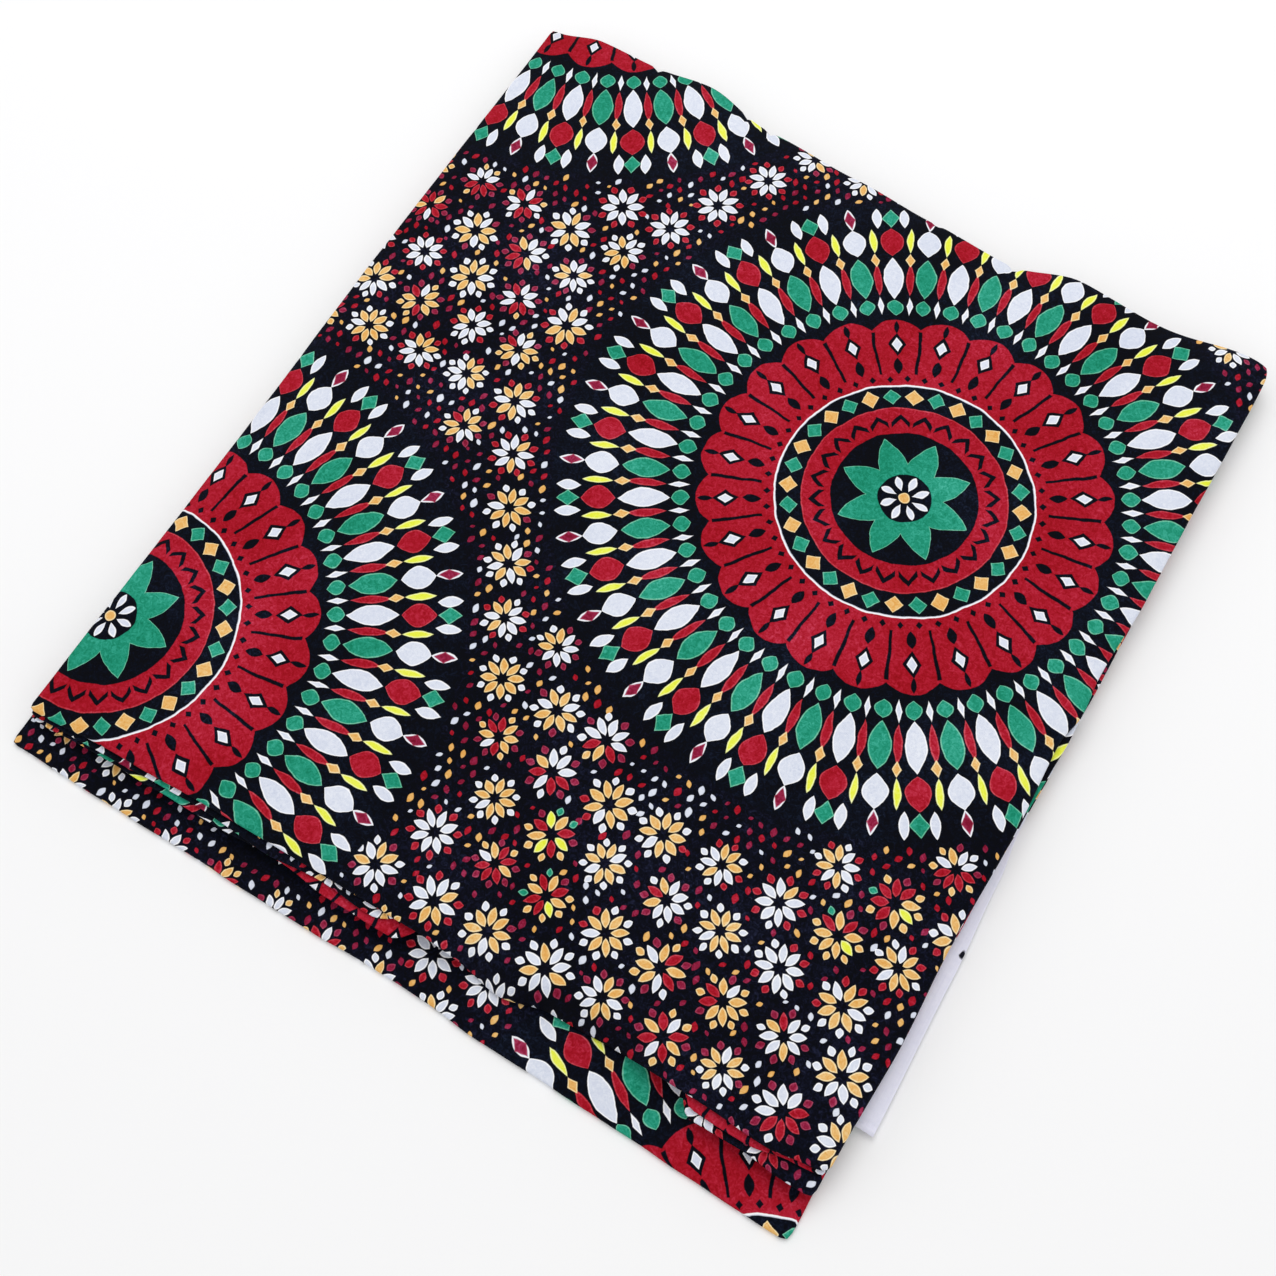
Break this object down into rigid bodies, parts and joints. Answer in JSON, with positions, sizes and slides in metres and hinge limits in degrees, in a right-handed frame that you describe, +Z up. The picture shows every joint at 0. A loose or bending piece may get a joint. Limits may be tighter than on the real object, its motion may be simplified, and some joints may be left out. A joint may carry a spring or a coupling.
{
  "type": "wax print fabric",
  "caption": "Length of printed wax cotton folded into a flat package, with rolled fold edges, stepped lower leaves and a strip of plain selvedge.",
  "frame": {"origin": "middle of the package's footprint, on the surface it rests on", "axes": "+X across the width of the cloth, towards the side where the selvedge slips out; +Y along its length, away from the edge where the lower leaves step out; +Z up"},
  "size_m": [0.3814, 0.4348, 0.0161],
  "materials": {
    "printed_cotton": "smooth plain-weave cotton, near-black navy ground with a multicolour print, matt with a faint sheen",
    "plain_selvedge": "unprinted lilac-white plain-weave cotton, matt"
  },
  "bodies": {
    "root": {"top_leaf": "printed_cotton", "under_leaf": "printed_cotton", "middle_leaf": "printed_cotton", "inner_leaves": "printed_cotton", "bottom_leaf": "printed_cotton", "selvedge_strip": "plain_selvedge"}
  },
  "joints": []
}
